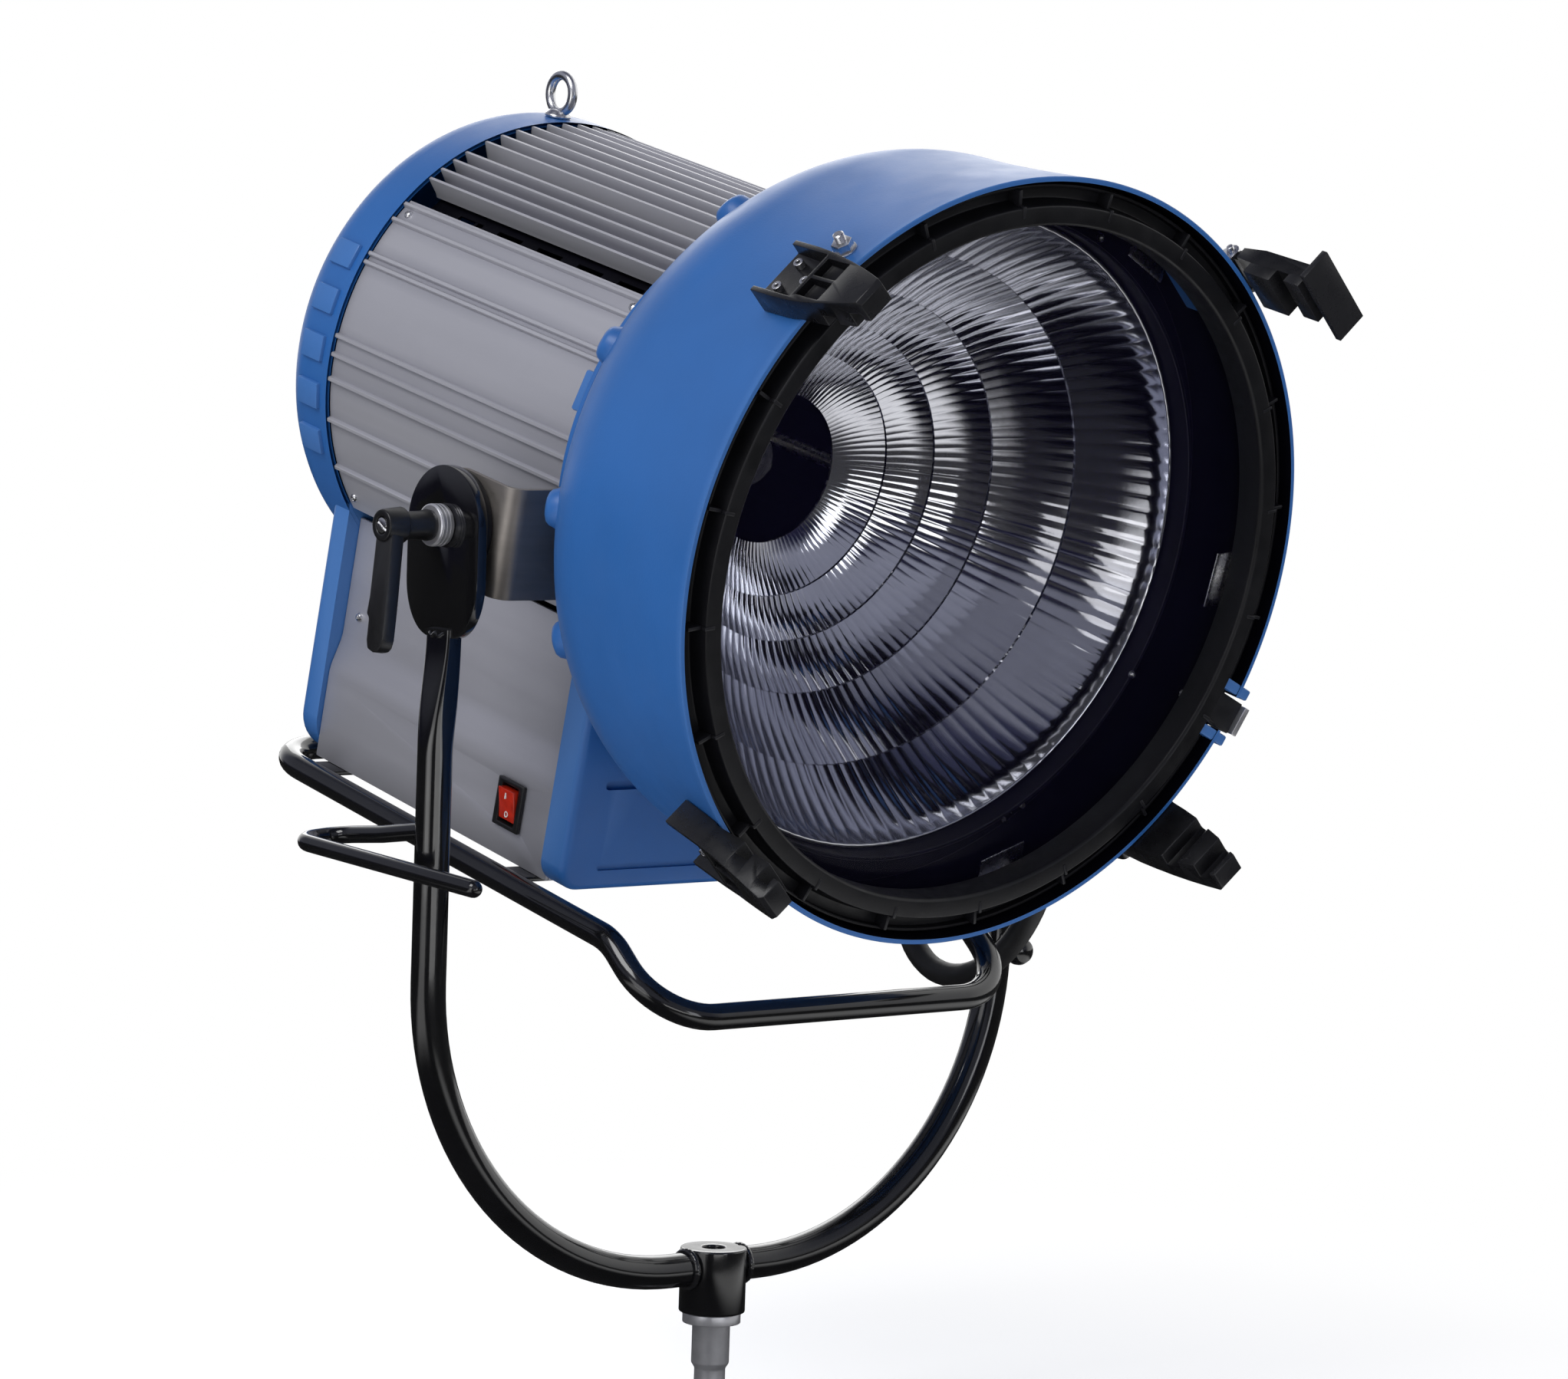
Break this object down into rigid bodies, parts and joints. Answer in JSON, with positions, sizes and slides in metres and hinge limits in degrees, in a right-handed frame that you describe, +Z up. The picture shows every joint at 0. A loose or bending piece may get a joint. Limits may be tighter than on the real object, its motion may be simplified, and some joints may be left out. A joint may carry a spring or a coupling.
{
  "type": "open-faced daylight lamp head with yoke",
  "caption": "Large daylight lamp head with a faceted reflector behind a glass ring, blue bell, finned body, control box, skid frame and a tilting yoke on a spigot.",
  "frame": {"origin": "middle of the spigot's lower end", "axes": "+Z up along the spigot, -Y towards the front of the lamp, +X to the right seen from the front"},
  "size_m": [0.6337, 0.7759, 0.9991],
  "materials": {
    "blue_paint": "satin blue paint, slightly pebbled, on cast aluminium",
    "anodised_aluminium": "silver-grey anodised extrusion",
    "black_paint": "gloss black, worn on edges",
    "black_casting": "matt black paint on aluminium",
    "black_plastic": "moulded",
    "dark_steel": "dark brushed plate",
    "bright_steel": "bright plated",
    "mirror": "faceted bright aluminium",
    "clear_glass": "clear, with a faint violet coating",
    "ceramic": "unglazed ceramic",
    "black_rubber": "cable sheath",
    "red_rocker": "translucent red"
  },
  "bodies": {
    "yoke": {"yoke_hub": "black_paint", "spigot": "bright_steel", "yoke_arm_left": "black_paint", "yoke_arm_right": "black_paint", "hook_left": "black_paint", "hook_right": "black_paint", "cable_peg": "black_paint", "clamp_washer_left": "anodised_aluminium", "clamp_washer_right": "anodised_aluminium"},
    "head": {"front_casting": "blue_paint", "bracket_left": "dark_steel", "bracket_right": "dark_steel", "friction_disc_left": "black_casting", "friction_disc_right": "black_casting", "pivot_bolt_left": "bright_steel", "pivot_bolt_right": "bright_steel", "side_panel_left": "anodised_aluminium", "side_panel_right": "anodised_aluminium", "fin_panel_left": "anodised_aluminium", "fin_panel_right": "anodised_aluminium", "top_fin_panel": "anodised_aluminium", "vent_baffle": "black_casting", "box_panel_left": "anodised_aluminium", "box_panel_right": "anodised_aluminium", "box_floor": "anodised_aluminium", "rear_cover": "blue_paint", "eye_bolt": "bright_steel", "bell": "blue_paint", "reflector": "mirror", "reflector_ring": "black_casting", "guide_rod_left": "bright_steel", "guide_rod_right": "bright_steel", "ignitor": "anodised_aluminium", "skid_frame": "black_paint", "skid_strip_front": "black_paint", "skid_strip_rear": "black_paint", "switch_bezel": "black_plastic", "cable_gland": "black_plastic", "supply_cable": "black_rubber", "cable_plug": "black_plastic", "claw_top_left": "black_paint", "claw_bottom_left": "black_paint", "claw_bottom_right": "black_paint", "safety_claw_leaf": "bright_steel", "safety_claw_pin": "bright_steel", "rim_stud_left": "bright_steel", "rim_stud_right": "bright_steel"},
    "lever": {"tilt_lock_lever": "black_plastic"},
    "carriage": {"lamp": "clear_glass", "lampholder": "ceramic"},
    "knob": {"focus_knob": "black_plastic"},
    "door": {"front_ring": "black_casting", "front_glass": "clear_glass", "glass_clip_1": "bright_steel", "glass_clip_2": "bright_steel", "glass_clip_3": "bright_steel"},
    "latch": {"door_latch": "bright_steel"},
    "safety": {"safety_claw": "black_paint"},
    "switch": {"rocker_switch": "red_rocker"}
  },
  "joints": [
    {"name": "head_tilt", "type": "hinge", "parent": "yoke", "child": "head", "pos_m": [0, 0, 0.6695], "axis": [1, 0, 0], "range_deg": [-100, 47]},
    {"name": "lever_turn", "type": "hinge", "parent": "yoke", "child": "lever", "pos_m": [-0.29, 0, 0.6695], "axis": [-1, 0, 0], "range_deg": [0, 180]},
    {"name": "door_open", "type": "hinge", "parent": "head", "child": "door", "pos_m": [-0.24933, -0.31725, 0.76605], "axis": [-0.4147, 0.196, -0.8886], "range_deg": [0, 25]},
    {"name": "latch_open", "type": "hinge", "parent": "head", "child": "latch", "pos_m": [0.2628, -0.23719, 0.54471], "axis": [0.4147, -0.196, 0.8886], "range_deg": [0, 90]},
    {"name": "safety_claw_open", "type": "hinge", "parent": "head", "child": "safety", "pos_m": [0.19676, -0.31186, 0.86695], "axis": [-0.7314, -0.1469, 0.666], "range_deg": [0, 95], "stiffness_Nm_per_rad": 0.25, "springref_deg": -45.84},
    {"name": "power_rocker", "type": "hinge", "parent": "head", "child": "switch", "pos_m": [-0.142, 0.07221, 0.46147], "axis": [0, 0.9765, 0.2154], "range_deg": [0, 16]},
    {"name": "lamp_slide", "type": "slide", "parent": "head", "child": "carriage", "axis": [0, -0.9765, -0.2154], "range_m": [-0.0125, 0.0125]},
    {"name": "focus_knob_turn", "type": "hinge", "parent": "head", "child": "knob", "pos_m": [0, 0.34092, 0.7488], "axis": [0, -0.9765, -0.2154], "range_deg": [-270, 270]}
  ],
  "couplings": [
    {"joint": "focus_knob_turn", "follows": "lamp_slide", "rad_per_m": 376.99}
  ]
}
